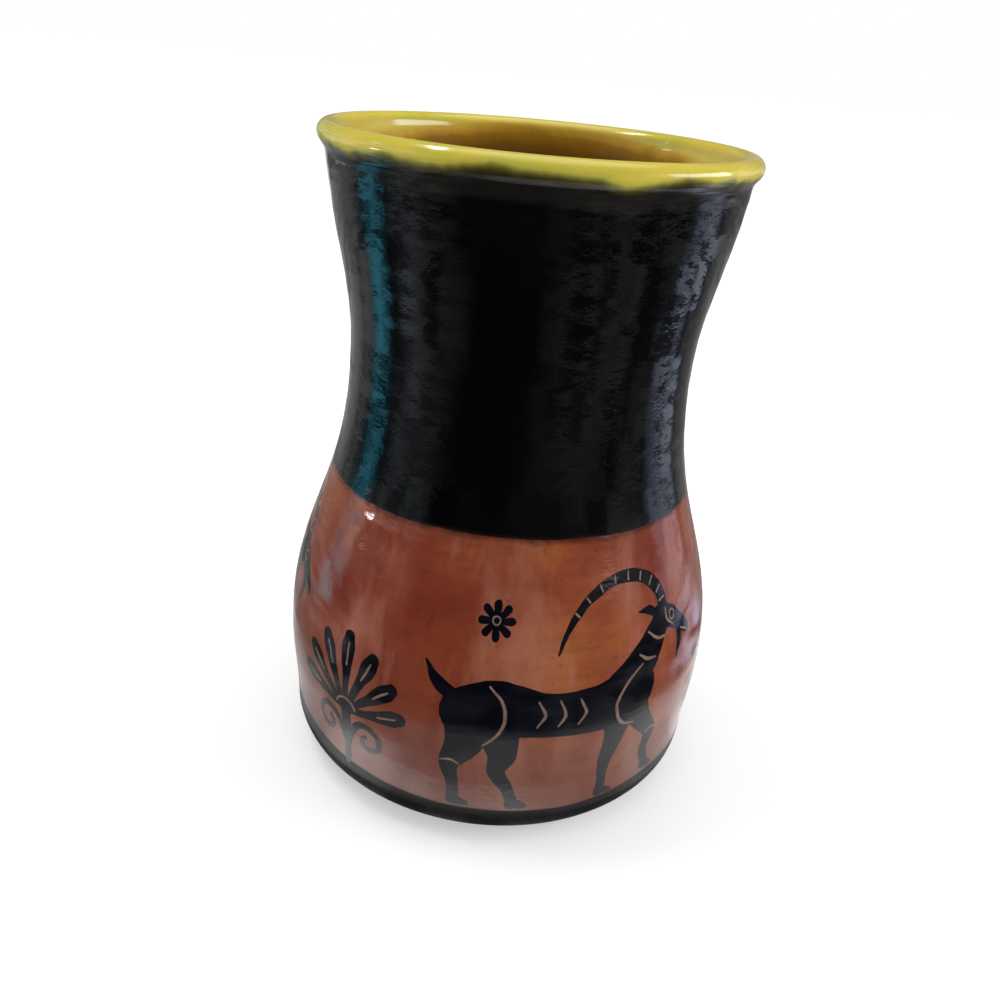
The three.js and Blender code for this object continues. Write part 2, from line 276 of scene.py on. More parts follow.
def revolve(name, radius, height, closed, attributes=None):
    """A surface round Z. Each row of the arrays is a ring, each column an angle."""
    phi = angles()
    verts = np.stack([radius * np.sin(phi), -radius * np.cos(phi), height], 2).reshape(-1, 3) * MM
    index = np.arange(radius.size).reshape(radius.shape)
    low = index if closed else index[:-1]
    high = np.roll(index, -1, 0) if closed else index[1:]
    faces = np.stack([low, np.roll(low, -1, 1), np.roll(high, -1, 1), high], 2).reshape(-1, 4)
    mesh = bpy.data.meshes.new(name)
    mesh.from_pydata(verts.tolist(), [], faces.tolist())
    for key, values in (attributes or {}).items():
        layer = mesh.attributes.new(key, "FLOAT", "POINT")
        layer.data.foreach_set("value", np.ascontiguousarray(values, np.float32).ravel())
    if not closed:
        close_on_axis(mesh)
    mesh.shade_smooth()
    mesh.set_sharp_from_angle(angle=math.radians(50))
    return placed(name, mesh)


def close_on_axis(mesh):
    """Joins the points that lie on the axis."""
    work = bmesh.new()
    work.from_mesh(mesh)
    middle = [v for v in work.verts if v.co.xy.length < 1e-6]
    bmesh.ops.remove_doubles(work, verts=middle, dist=1e-6)
    work.to_mesh(mesh)
    work.free()


def coat(name, low, high, edges, attributes):
    """A coat on the outside between two lines round the pot.

    edges gives the share of the coat's thickness that is left at its lower and upper line.
    """
    phi = angles()[None, :]
    steps = int((np.max(high) - np.min(low)) / COAT_STEP)
    even = np.linspace(0, 1, steps)[:, None]
    share = even - 0.3 * np.sin(TURN * even) / math.pi  # closer together near both edges
    z = low + (high - low) * share
    rise = np.full_like(z, COAT_RISE)
    for inset, left in ((z - low, edges[0]), (high - z, edges[1])):
        rise *= left + (1 - left) * np.sqrt(np.clip(inset / COAT_EDGE, 0, 1))
    outer_r, outer_z = lifted(z, rise + thrown(z, phi))
    inner_r, inner_z = lifted(z, np.full_like(z, COAT_BACK))
    radius = np.concatenate([outer_r, inner_r[::-1]])
    height = np.concatenate([outer_z, inner_z[::-1]])
    values = {key: np.concatenate([v, v[::-1]]) for key, v in attributes(z, phi).items()}
    return revolve(name, radius, height, True, values)


def lip_and_inside(rise):
    """Outline from under the lip, over it and down the inside to the middle of the floor."""
    throat_z = np.linspace(THROAT_HEIGHT - UNDER_LIP, THROAT_HEIGHT, 8)
    thin = 0.8 + 0.2 * np.clip(throat_z - throat_z[0], 0, 1)
    throat = np.stack(lifted(throat_z, rise * thin), 1)
    lip = (RIM_RADIUS - LIP_ROLL_RADIUS, CLAY_HEIGHT - LIP_ROLL_RADIUS)
    roll = arc(lip, LIP_ROLL_RADIUS + rise, LIP_ROLL_RADIUS + rise, -42, 186, 40)
    corner_top = FLOOR_THICKNESS + FLOOR_CORNER
    wall_z = np.linspace(THROAT_HEIGHT - LIP_BLEND, corner_top, 150)
    wall = np.stack([clay_radius(wall_z) - WALL_THICKNESS - rise, wall_z], 1)
    corner_middle = (wall[-1, 0] - FLOOR_CORNER + rise, corner_top)
    corner = arc(corner_middle, FLOOR_CORNER - rise, FLOOR_CORNER - rise, 0, -90, 24)
    floor = np.array([[0, FLOOR_THICKNESS + rise]])
    return np.concatenate([throat, roll, wall, corner[1:], floor])


def spread(line, step):
    """Points at even steps along an outline."""
    run = np.concatenate([[0], np.cumsum(np.hypot(*np.diff(line, axis=0).T))])
    even = np.linspace(0, run[-1], int(run[-1] / step))
    return np.stack([np.interp(even, run, line[:, 0]), np.interp(even, run, line[:, 1])], 1)


def eased(line, passes):
    """Rounds off the joins of an outline and keeps its ends."""
    line = line.copy()
    for _ in range(passes):
        line[1:-1] = 0.25 * line[:-2] + 0.5 * line[1:-1] + 0.25 * line[2:]
    return line


def mouth_glaze():
    """The glaze over the lip and the whole inside, with its distance past the melt line and its depth."""
    phi = angles()[None, :]
    outer = eased(spread(lip_and_inside(COAT_RISE), MOUTH_STEP), EASE_PASSES)
    inner = eased(spread(lip_and_inside(MOUTH_COAT_BACK), MOUTH_BACK_STEP), EASE_PASSES)
    rim = int(np.argmax(outer[:, 1]))
    past_rim = (np.arange(len(outer)) > rim)[:, None]
    below_rim = outer[rim, 1] - outer[:, 1:]
    melt = np.where(past_rim, ALL_YELLOW, outer[:, 1:] - melt_line(phi))
    depth = np.where(past_rim, below_rim - PALE_SIDES * (1 - np.cos(phi) ** 4), 0)
    line = np.concatenate([inner[::-1], outer])
    radius = line[:, :1] + 0 * phi
    height = line[:, 1:] + 0 * phi
    # The marks of the throwing fade out towards the lip and towards the middle of the floor.
    steady = np.clip(1 - (height - THROAT_HEIGHT) / 3, 0, 1) * np.clip(radius / 20, 0, 1)
    radius = radius + thrown(height, phi) * steady
    radius[line[:, 0] < 1e-6] = 0
    back = np.full((len(inner), AROUND), ALL_YELLOW)
    values = {"melt": np.concatenate([back, melt]), "depth": np.concatenate([back, depth])}
    return revolve("mouth_glaze_skin", radius, height, False, values)


def clay_body():
    """The bare clay, from the middle of the base round to the middle of the floor."""
    base = np.array([[0, 0], [BASE_RADIUS - 0.5, 0]])
    wall = OUTSIDE[OUTSIDE[:, 1] < THROAT_HEIGHT - LIP_BLEND]
    line = spread(np.concatenate([base, wall, lip_and_inside(0.0)]), CLAY_STEP)
    radius = np.repeat(line[:, :1], AROUND, 1)
    height = np.repeat(line[:, 1:], AROUND, 1)
    return revolve("clay_body_skin", radius, height, False)


# Painted figures, drawn on a flat sheet as brush strokes of (across, up, width)

HORN = [
    (26, 47.4, 3.6), (24.6, 52.6, 3.4), (18.6, 57, 3.1), (10, 57.6, 2.7),
    (2, 54, 2.2), (-3.4, 48, 1.5), (-5.6, 42.6, 0.5),
]


def animal_strokes():
    """Brush strokes of a walking ibex."""
    trunk = [
        (-26, 28, 13), (-19, 29.5, 14.5), (-8, 28, 11.6),
        (4, 28, 12.4), (12, 29.4, 14.4), (15.4, 30.4, 13.6),
    ]
    neck = [(12, 31.4, 12), (18, 37, 10), (22.5, 42.5, 7.4), (25.5, 46, 6.4)]
    head = [(24.8, 46, 6.4), (29, 44.6, 5.6), (33.6, 41.4, 3.8), (36.4, 39.2, 3)]
    beard = [(32.4, 41, 2.6), (32.2, 37, 2), (31, 33.4, 0.5)]
    ear = [(24, 46.6, 1.2), (20.6, 48.6, 2.2), (17, 49, 0.5)]
    tail = [(-29, 31.6, 3.6), (-33.4, 34.6, 3), (-36.4, 39, 0.6)]
    near_hind = [
        (-24.6, 26.4, 13.4), (-26.4, 18.8, 8.6), (-29.2, 13, 4.9), (-28.4, 7.6, 3.2), (-27.8, 2.4, 3),
    ]
    far_hind = [(-19, 25, 11), (-17, 17.4, 7.2), (-18, 11.8, 4.4), (-15.2, 6.8, 3.1), (-13.4, 2.4, 2.9)]
    near_fore = [(11.6, 27, 10), (11, 19, 6.2), (9.6, 11.6, 4.1), (9.8, 6.4, 2.9), (10, 2.4, 2.9)]
    far_fore = [(15, 27.4, 9.4), (19.4, 20.6, 5.9), (23.4, 15.4, 4.3), (22.8, 9.8, 3.1), (25, 4.6, 2.8)]
    hooves = [
        [(-28, 1.7, 3.2), (-24.8, 1, 1.6)],
        [(-13.6, 1.7, 3.2), (-10.4, 1, 1.6)],
        [(9.8, 1.7, 3.2), (13, 1, 1.6)],
        [(24.8, 3.8, 3.1), (28, 2.6, 1.6)],
    ]
    legs = [near_hind, far_hind, near_fore, far_fore, *hooves]
    return [trunk, neck, head, beard, HORN, ear, tail, *legs]


def animal_scratches():
    """Lines scratched into the ibex, down to the clay."""
    shoulder = [(17.6, 36.5, 0.5), (13.2, 33, 0.8), (10.4, 27.6, 0.8), (12.4, 22.4, 0.8), (16.2, 21.2, 0.5)]
    haunch = [(-21, 35, 0.5), (-17.4, 30, 0.8), (-17.8, 24, 0.8), (-21.6, 19.4, 0.5)]
    collar = [(19.8, 43.6, 0.5), (23.2, 41.2, 0.8), (26.6, 41, 0.5)]
    mane = [(16.6, 39, 0.5), (19, 37.4, 0.8), (22, 36.8, 0.5)]
    jaw = [(26.8, 47.4, 0.5), (27.2, 44.4, 0.7), (29.6, 42.6, 0.5)]
    mouth = [(37, 38.2, 0.5), (35, 39.4, 0.6), (33.4, 40.2, 0.5)]
    hind_knee = [(-31.2, 13.6, 0.5), (-29, 14, 0.7), (-27, 13.2, 0.5)]
    fore_knee = [(21.8, 15.4, 0.5), (23.6, 16.4, 0.7), (25.2, 16, 0.5)]
    ribs = [[(x, 31.6, 0.5), (x + 1.6, 28, 0.8), (x, 25, 0.5)] for x in (-9.6, -4.6, 0.4)]
    eye = [circle_stroke(29.4, 45, 1.1, start, start + 150, 0.5) for start in (15, 195)]
    lines = [shoulder, haunch, collar, mane, jaw, mouth, hind_knee, fore_knee]
    return [*lines, *ribs, *eye, *horn_rings()]


def horn_rings():
    """Short lines across the horn."""
    spine = spline(HORN, 6)
    half = 0.3  # share of the horn's width that a line reaches to each side
    rings = []
    for i in range(3, 30, 3):
        x, y, width = spine[i]
        turn = heading(spine, i)
        out_x = -math.sin(turn) * width * half
        out_y = math.cos(turn) * width * half
        rings.append([(x + out_x, y + out_y, 0.5), (x - out_x, y - out_y, 0.5)])
    return rings


def petals():
    """Angle and length of each petal."""
    middle = (PETALS - 1) / 2
    places = [i - middle for i in range(PETALS)]
    return [(math.pi / 2 + p * PETAL_SPREAD, PETAL_LENGTH - PETAL_SHORTENING * abs(p)) for p in places]


def ray(angle, distance, width):
    """A brush point out from the palmette's heart."""
    return (distance * math.cos(angle), HEART_Y + distance * math.sin(angle), width)


def palmette_strokes():
    """A stem with two volutes and a fan of petals."""
    stem = [
        (0, STEM_WIDTH * 0.375, STEM_WIDTH * 0.75),
        (0, HEART_Y * 0.47, STEM_WIDTH),
        (0, HEART_Y + STEM_WIDTH * 0.2, STEM_WIDTH * 1.5),
    ]
    shape = ((0.024, 0.36), (0.45, 0.55), (0.8, 1.0), (0.95, 0.77))
    fan = [[ray(a, length * s, PETAL_WIDTH * w) for s, w in shape] for a, length in petals()]
    return [stem, *fan, volute(-1), volute(1)]


def volute(side):
    points = [(0, HEART_Y * 0.33, VOLUTE_WIDTH * 0.9)]
    for share in np.linspace(0, 1, 10):
        angle = math.radians(170 - 400 * share)
        radius = VOLUTE_RADIUS * (1 - 0.74 * share)
        across = side * (VOLUTE_X + radius * math.cos(angle))
        points.append((across, VOLUTE_Y + radius * math.sin(angle), VOLUTE_WIDTH * (1 - 0.4 * share)))
    return points


def palmette_scratches():
    shape = ((0.6, 0.5), (0.75, 0.6), (0.88, 0.5))
    veins = [[ray(a, length * s, w) for s, w in shape] for a, length in petals()]
    return [*veins, circle_stroke(0, HEART_Y, 3.4, 20, 160, 0.6)]


def rosette_strokes():
    """A ring of leaves that meet in the middle."""
    shape = ((0.04, 0.47), (0.55, 0.9), (0.8, 1.0))
    strokes = []
    for i in range(ROSETTE_LEAVES):
        x = ROSETTE_RADIUS * math.cos(TURN * i / ROSETTE_LEAVES)
        y = ROSETTE_RADIUS * math.sin(TURN * i / ROSETTE_LEAVES)
        strokes.append([(x * s, y * s, LEAF_WIDTH * w) for s, w in shape])
    return strokes


def rosette_scratches():
    return [circle_stroke(0, 0, 0.9, start, start + 160, 0.4) for start in (10, 190)]


def circle_stroke(x, y, radius, start, end, width):
    turn = np.radians(np.linspace(start, end, 7))
    return [(x + radius * math.cos(a), y + radius * math.sin(a), width) for a in turn]


def spline(points, steps):
    """Catmull-Rom through brush points, with the ends run straight on."""
    p = np.array(points, float)
    p = np.concatenate([[2 * p[0] - p[1]], p, [2 * p[-1] - p[-2]]])
    out = []
    for a, b, c, d in zip(p, p[1:], p[2:], p[3:]):
        for t in np.arange(steps) / steps:
            bend = (2 * a - 5 * b + 4 * c - d) * t ** 2 + (3 * b - a - 3 * c + d) * t ** 3
            out.append(b + 0.5 * ((c - a) * t + bend))
    return out + [p[-2]]


def heading(spine, i):
    """The direction of a brush stroke at one of its points."""
    before = spine[max(i - 1, 0)]
    after = spine[min(i + 1, len(spine) - 1)]
    return math.atan2(after[1] - before[1], after[0] - before[0])


def stroke_outline(points, steps=7, cap=8):
    """The outline of one brush stroke, with round ends."""
    spine = spline(points, steps)
    turns = [heading(spine, i) for i in range(len(spine))]

    def edge(p, turn):
        return (p[0] + p[2] / 2 * math.cos(turn), p[1] + p[2] / 2 * math.sin(turn))

    def round_end(p, start):
        return [edge(p, start - math.pi * i / cap) for i in range(1, cap)]

    left = [edge(p, t + math.pi / 2) for p, t in zip(spine, turns)]
    right = [edge(p, t - math.pi / 2) for p, t in zip(spine, turns)]
    tip = round_end(spine[-1], turns[-1] + math.pi / 2)
    tail = round_end(spine[0], turns[0] - math.pi / 2)
    return left + tip + right[::-1] + tail


def stroke_prism(points, low, high):
    outline = stroke_outline(points)[::-1]
    count = len(outline)
    verts = [(x, y, low) for x, y in outline] + [(x, y, high) for x, y in outline]
    sides = [(i, (i + 1) % count, (i + 1) % count + count, i + count) for i in range(count)]
    bottom = tuple(range(count))[::-1]
    top = tuple(range(count, 2 * count))
    mesh = bpy.data.meshes.new("stroke")
    mesh.from_pydata(verts, [], [*sides, bottom, top])
    return placed("stroke", mesh)


def combined(base, others, operation):
    """The mesh of one flat solid joined with, cut by or kept inside others."""
    for other in others:
        step = base.modifiers.new("combine", "BOOLEAN")
        step.operation = operation
        step.solver = "MANIFOLD"
        step.object = other
    graph = bpy.context.evaluated_depsgraph_get()
    mesh = bpy.data.meshes.new_from_object(base.evaluated_get(graph))
    base.modifiers.clear()
    return mesh


def discard(pieces):
    for piece in pieces:
        mesh = piece.data
        bpy.data.objects.remove(piece)
        bpy.data.meshes.remove(mesh)


def flat_figure(strokes, scratches):
    """The painted patch with its scratched lines cut out, and those lines, flat and 1 deep."""
    prisms = [stroke_prism(s, 0, 1) for s in strokes]
    patch = placed("patch", combined(prisms[0], prisms[1:], "UNION"))
    tools = [stroke_prism(s, -1, 2) for s in scratches]
    needle = placed("needle", combined(tools[0], tools[1:], "UNION"))
    painted = combined(patch, [needle], "DIFFERENCE")
    lines = combined(patch, [needle], "INTERSECT")
    discard([*prisms, *tools, patch, needle])
    return painted, lines


def diced(mesh):
    """Corners and faces of a flat mesh, cut into small cells so that it can bend round the pot."""
    work = bmesh.new()
    work.from_mesh(mesh)
    bmesh.ops.triangulate(work, faces=work.faces)
    for axis in (0, 1):
        places = [v.co[axis] / PATCH_CELL for v in work.verts]
        normal = Vector((axis == 0, axis == 1, 0))
        for step in range(math.ceil(min(places)), math.ceil(max(places))):
            everything = work.verts[:] + work.edges[:] + work.faces[:]
            place = normal * step * PATCH_CELL
            bmesh.ops.bisect_plane(work, geom=everything, dist=1e-5, plane_co=place, plane_no=normal)
    work.verts.index_update()
    corners = np.array([unsteady(v.co) for v in work.verts])
    faces = [[v.index for v in f.verts] for f in work.faces]
    work.free()
    bpy.data.meshes.remove(mesh)
    return corners, faces


def unsteady(point):
    """Moves a point of the drawing a little, as a hand with a brush does."""
    drift = noise.noise_vector(Vector((point.x * HAND_PACE, point.y * HAND_PACE, 3.0))) * HAND_DRIFT
    return (point.x + drift.x, point.y + drift.y, point.z)


def wrapped(name, flat, across, up, repeat, low, high):
    """A diced flat mesh laid on the belly, shaded as smoothly as the belly itself."""
    corners, faces = flat
    cell = TURN / FRIEZE_REPEATS
    phi = FRIEZE_TURN + cell * repeat + cell * (corners[:, 0] + across) / SHEET_WIDTH
    z = FRIEZE_BOTTOM + (corners[:, 1] + up) * (FRIEZE_TOP - FRIEZE_BOTTOM) / SHEET_HEIGHT
    rise = low + (high - low) * np.clip(corners[:, 2], 0, 1)
    radius, height = lifted(z, rise + thrown(z, phi))
    verts = np.stack([radius * np.sin(phi), -radius * np.cos(phi), height], 1) * MM
    mesh = bpy.data.meshes.new(name)
    mesh.from_pydata(verts.tolist(), [], faces)
    mesh.shade_smooth()
    slope = clay_radius(z + 0.5) - clay_radius(z - 0.5)
    normals = np.stack([np.sin(phi), -np.cos(phi), -slope], 1)
    normals /= np.linalg.norm(normals, axis=1)[:, None]
    normals[corners[:, 2] < 0.5] *= -1
    mesh.normals_split_custom_set_from_vertices(normals.tolist())
    return placed(name, mesh)


# Materials

class Nodes:
    """Short names for building the nodes of a material or of the world."""

    def __init__(self, owner, shader="Principled BSDF"):
        self.owner = owner
        owner.use_nodes = True
        self.tree = owner.node_tree
        self.shader = self.tree.nodes[shader]
        self.place = self.tree.nodes.new("ShaderNodeTexCoord").outputs["Object"]

    def add(self, kind, **settings):
        node = self.tree.nodes.new(kind)
        for key, value in settings.items():
            setattr(node, key, value)
        return node

    def put(self, socket, value):
        if isinstance(value, bpy.types.NodeSocket):
            self.tree.links.new(value, socket)
        elif isinstance(value, tuple) and socket.type == "RGBA":
            socket.default_value = (*value, 1)
        else:
            socket.default_value = value

    def set(self, **values):
        for key, value in values.items():
            self.put(self.shader.inputs[key.replace("_", " ")], value)

    def stretched(self, x, y, z):
        node = self.add("ShaderNodeMapping")
        self.put(node.inputs["Vector"], self.place)
        node.inputs["Scale"].default_value = (x, y, z)
        return node.outputs["Vector"]

    def noise(self, where, scale, detail=4.0, rough=0.55, distort=0.0):
        node = self.add("ShaderNodeTexNoise")
        values = {
            "Vector": where, "Scale": scale, "Detail": detail, "Roughness": rough, "Distortion": distort,
        }
        for key, value in values.items():
            self.put(node.inputs[key], value)
        return node.outputs["Fac"]

    def ramp(self, source, *stops):
        node = self.add("ShaderNodeValToRGB")
        self.put(node.inputs["Fac"], source)
        ramp = node.color_ramp
        while len(ramp.elements) < len(stops):
            ramp.elements.new(0.5)
        for element, (place, colour) in zip(ramp.elements, stops):
            element.position = place
            element.color = (*colour, 1)[:4]
        return node.outputs["Color"]

    def range(self, source, low, high, to_low=0.0, to_high=1.0):
        node = self.add("ShaderNodeMapRange")
        for socket, value in zip(node.inputs, (source, low, high, to_low, to_high)):
            self.put(socket, value)
        return node.outputs["Result"]

    def vary(self, source, low, high):
        """A number that follows a noise, whose own values lie mostly from 0.3 to 0.7."""
        return self.range(source, 0.3, 0.7, low, high)

    def math(self, operation, a, b):
        node = self.add("ShaderNodeMath", operation=operation)
        self.put(node.inputs[0], a)
        self.put(node.inputs[1], b)
        return node.outputs["Value"]

    def sum(self, a, b):
        return self.math("ADD", a, b)

    def axis(self, name):
        """One coordinate of the place."""
        node = self.add("ShaderNodeSeparateXYZ")
        self.put(node.inputs[0], self.place)
        return node.outputs[name]

    def from_middle(self, operation):
        """The length of the line from the middle to the place, or its direction."""
        node = self.add("ShaderNodeVectorMath", operation=operation)
        self.put(node.inputs[0], self.place)
        return node

    def mix(self, factor, a, b):
        node = self.add("ShaderNodeMix", data_type="RGBA")
        for place, value in ((0, factor), (6, a), (7, b)):
            self.put(node.inputs[place], value)
        return node.outputs[2]

    def attribute(self, name):
        return self.add("ShaderNodeAttribute", attribute_name=name).outputs["Fac"]

    def bump(self, source, strength, distance):
        node = self.add("ShaderNodeBump")
        self.put(node.inputs["Strength"], strength)
        self.put(node.inputs["Distance"], distance)
        self.put(node.inputs["Height"], source)
        self.put(self.shader.inputs["Normal"], node.outputs["Normal"])


def srgb(red, green, blue):
    """A colour given as 0 to 255 screen values, as linear light."""
    parts = [c / 255 for c in (red, green, blue)]
    return tuple(c / 12.92 if c < 0.04045 else ((c + 0.055) / 1.055) ** 2.4 for c in parts)


def rippled(n, strength):
    """Small unevenness of a fired surface, so that it reflects with ragged edges."""
    fine = n.noise(n.stretched(1, 1, 1.5), 420, 2)
    n.bump(n.sum(fine, n.noise(n.place, 120, 2)), strength, 0.0003)


def bare_clay_material():
    """Matte fired clay, clouded and speckled."""
    n = Nodes(bpy.data.materials.new("bare_clay"))
    grain = n.noise(n.place, 900, 6)
    cloud = n.noise(n.stretched(1, 1, 4), 40, 4)
    colour = n.ramp(cloud, (0.3, srgb(150, 92, 66)), (0.7, srgb(176, 122, 94)))
    speckled = n.ramp(grain, (0.35, srgb(104, 60, 42)), (0.65, srgb(186, 138, 110)))
    n.set(Base_Color=n.mix(0.3, colour, speckled), Roughness=0.85)
    n.bump(grain, 0.3, 0.0002)
    return n.owner


def belly_material():
    """Red clay slip under gloss, brushed round and up and down, darker where it meets black."""
    n = Nodes(bpy.data.materials.new("red_gloss"))
    cloud = n.noise(n.stretched(1, 1, 0.8), 24, 5, 0.6, 0.5)
    round_streak = n.noise(n.stretched(1, 1, 9), 50, 5, 0.65)
    tall_streak = n.noise(n.stretched(1, 1, 0.22), 70, 4, 0.6, 0.2)
    speck = n.noise(n.place, 1100, 3)
    colour = n.ramp(
        cloud,
        (0.36, srgb(110, 44, 30)), (0.46, srgb(126, 58, 38)),
        (0.55, srgb(138, 70, 44)), (0.65, srgb(154, 88, 42)),
    )
    colour = n.mix(n.range(round_streak, 0.42, 0.7, 0, 0.45), colour, srgb(100, 50, 36))
    colour = n.mix(n.range(tall_streak, 0.48, 0.66, 0, 0.6), colour, srgb(164, 108, 88))
    colour = n.mix(n.range(speck, 0.62, 0.72, 0, 0.4), colour, srgb(76, 38, 28))
    # Painted shade: the lower belly is darkened towards the foot.
    low = n.range(n.axis("Z"), 0.05, 0.016, 0, 0.65)
    colour = n.mix(low, colour, srgb(94, 48, 36))
    ragged = n.noise(n.stretched(1, 1, 2), 320, 3)
    over = n.sum(n.attribute("over_band"), n.vary(ragged, -0.3, 0.3))
    colour = n.mix(n.range(over, -0.2, 0.7, 0.8, 0), colour, srgb(62, 32, 28))
    under = n.sum(n.attribute("under_glaze"), n.vary(ragged, -0.5, 0.5))
    colour = n.mix(n.range(under, -0.2, 1.5, 0.9, 0), colour, srgb(48, 27, 22))
    n.set(Base_Color=colour, Roughness=n.vary(round_streak, 0.06, 0.13))
    rippled(n, 0.13)
    return n.owner


BLACK = (0.001, 0.0011, 0.0015)


def melted(n, black):
    """Black through olive to yellow, across the line where the lip's glaze runs into the neck's."""
    ragged = n.noise(n.stretched(1, 1, 0.7), 120, 2)
    melt = n.sum(n.attribute("melt"), n.vary(ragged, -0.5, 0.5))
    share = n.range(melt, -1.9, 2.6)
    olive = n.ramp(
        share,
        (0.04, srgb(16, 15, 9)), (0.16, srgb(34, 32, 10)), (0.29, srgb(58, 55, 17)),
        (0.4, srgb(88, 84, 30)), (0.51, srgb(132, 128, 54)), (0.62, srgb(172, 166, 68)),
    )
    cloud = n.noise(n.place, 55, 4, 0.6, 0.3)
    yellow = n.ramp(cloud, (0.35, srgb(190, 184, 66)), (0.65, srgb(212, 190, 74)))
    bright = n.mix(n.range(share, 0.55, 0.85), olive, yellow)
    # Painted sheen: the grey that thin gives just under the olive, not a thinner coat of glaze.
    thin = n.mix(n.range(melt, -5.8, -4.6), black, srgb(24, 23, 20))
    return n.mix(n.range(share, 0.0, 0.1), thin, bright)


def black_glaze_material():
    """Mirror-glossy black, olive and yellow at the top and brown at its lower edge."""
    n = Nodes(bpy.data.materials.new("black_glaze"))
    mottle = n.noise(n.stretched(1, 1, 0.5), 45, 5, 0.6, 0.6)
    black = n.ramp(mottle, (0.35, BLACK), (0.6, (0.0026, 0.0026, 0.003)), (0.8, (0.007, 0.006, 0.0055)))
    edge = n.range(n.attribute("edge"), 0.0, 0.8, 0.8, 0)
    n.set(Base_Color=n.mix(edge, melted(n, black), srgb(34, 20, 16)))
    n.set(Roughness=n.vary(mottle, 0.04, 0.12))
    rippled(n, 0.16)
    return n.owner


def yellow_glaze_material():
    """Glossy yellow on the lip, amber and then brown down the inside."""
    n = Nodes(bpy.data.materials.new("yellow_glaze"))
    cloud = n.noise(n.place, 70, 4, 0.6, 0.3)
    depth = n.sum(n.attribute("depth"), n.vary(cloud, -0.9, 0.9))
    # Amber down the inside is the glaze pooled thicker; the brown deep down is painted shade.
    inner = n.ramp(
        n.range(depth, 0, 40),
        (0.0, srgb(212, 184, 80)), (0.05, srgb(190, 150, 48)), (0.1, srgb(140, 98, 16)),
        (0.17, srgb(104, 70, 8)), (0.5, srgb(78, 50, 8)), (1.0, srgb(52, 32, 8)),
    )
    n.set(Base_Color=n.mix(n.range(n.attribute("depth"), 0.1, 1.2), melted(n, BLACK), inner))
    n.set(Roughness=n.vary(cloud, 0.1, 0.17))
    n.bump(n.noise(n.place, 300, 3), 0.08, 0.0003)
    return n.owner


def slip_material():
    """Blue-black paint under gloss, thin along the brush marks."""
    n = Nodes(bpy.data.materials.new("black_slip"))
    cloud = n.noise(n.stretched(1, 1, 2), 50, 5, 0.6, 0.3)
    brush = n.noise(n.stretched(1, 1, 9), 50, 5, 0.65)
    colour = n.ramp(cloud, (0.3, srgb(5, 6, 11)), (0.55, srgb(9, 11, 19)), (0.75, srgb(24, 25, 32)))
    n.set(Base_Color=n.mix(n.range(brush, 0.5, 0.75, 0, 0.4), colour, srgb(34, 30, 30)))
    n.set(Roughness=n.vary(brush, 0.06, 0.13))
    rippled(n, 0.13)
    return n.owner


def band_material():
    """Black slip, duller than the paint and brown along its upper edge."""
    n = Nodes(bpy.data.materials.new("foot_slip"))
    cloud = n.noise(n.stretched(1, 1, 3), 60, 5, 0.6, 0.3)
    black = n.ramp(cloud, (0.3, srgb(12, 11, 11)), (0.7, srgb(28, 24, 23)))
    ragged = n.noise(n.stretched(1, 1, 2), 320, 3)
    edge = n.sum(n.attribute("edge"), n.vary(ragged, -0.2, 0.2))
    n.set(Base_Color=n.mix(n.range(edge, -0.1, 0.5, 0.8, 0), black, srgb(56, 28, 24)))
    n.set(Roughness=n.vary(cloud, 0.2, 0.34), Specular_IOR_Level=0.18)
    return n.owner


def scratch_material():
    """Pale clay, bared by the needle."""
    n = Nodes(bpy.data.materials.new("scratched_clay"))
    grain = n.noise(n.place, 700, 4)
    n.set(Base_Color=n.ramp(grain, (0.3, srgb(98, 76, 66)), (0.7, srgb(140, 114, 100))), Roughness=0.25)
    return n.owner


# The pot

def finish(piece, material, slot, *nodes):
    piece.data.materials.clear()
    piece.data.materials.append(material)
    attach(piece, "root")
    if nodes:
        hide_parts(*nodes)


def make_pot():
    phi = angles()[None, :]
    finish(clay_body(), bare_clay_material(), "bare_clay", "clay_body")
    band = coat(
        "foot_band_skin", np.full_like(phi, FOOT_BAND_BOTTOM), band_line(phi), (0.2, 1),
        lambda z, p: {"edge": band_line(p) - z},
    )
    finish(band, band_material(), "black_slip", "foot_band")
    belly = coat(
        "belly_skin", band_line(phi), glaze_line(phi), (1, 0.95),
        lambda z, p: {"over_band": z - band_line(p), "under_glaze": glaze_line(p) - z},
    )
    finish(belly, belly_material(), "red_gloss", "belly_coat")
    neck = coat(
        "neck_glaze_skin", glaze_line(phi), np.full_like(phi, THROAT_HEIGHT - 0.6), (1, 0.8),
        lambda z, p: {"edge": z - glaze_line(p), "melt": z - melt_line(p)},
    )
    finish(neck, black_glaze_material(), "black_glaze", "neck_glaze")
    finish(mouth_glaze(), yellow_glaze_material(), "yellow_glaze", "mouth_glaze")


def make_frieze():
    noise.seed_set(HAND_SEED)
    slip = slip_material()
    scratched = scratch_material()
    motifs = (
        ("ibex", animal_strokes(), animal_scratches(), 0, 0),
        ("palmette", palmette_strokes(), palmette_scratches(), SHEET_WIDTH / 2, 0),
        ("rosette", rosette_strokes(), rosette_scratches(), ROSETTE_X, ROSETTE_Y),
    )
    for name, strokes, scratches, across, up in motifs:
        patch, lines = (diced(mesh) for mesh in flat_figure(strokes, scratches))
        for repeat in range(FRIEZE_REPEATS):
            node = f"painted_{name}_{repeat + 1}"
            skin = wrapped(node + "_skin", patch, across, up, repeat, SLIP_LOW, SLIP_HIGH)
            finish(skin, slip, "black_slip", node)
            needle = wrapped(node + "_lines", lines, across, up, repeat, SLIP_LOW, SCRATCH_HIGH)
            finish(needle, scratched, "bare_clay")


# Studio and camera. The camera's place is in millimetres, its angles are in radians and its focal
# length is in pixels of the image. The other places here are in metres.

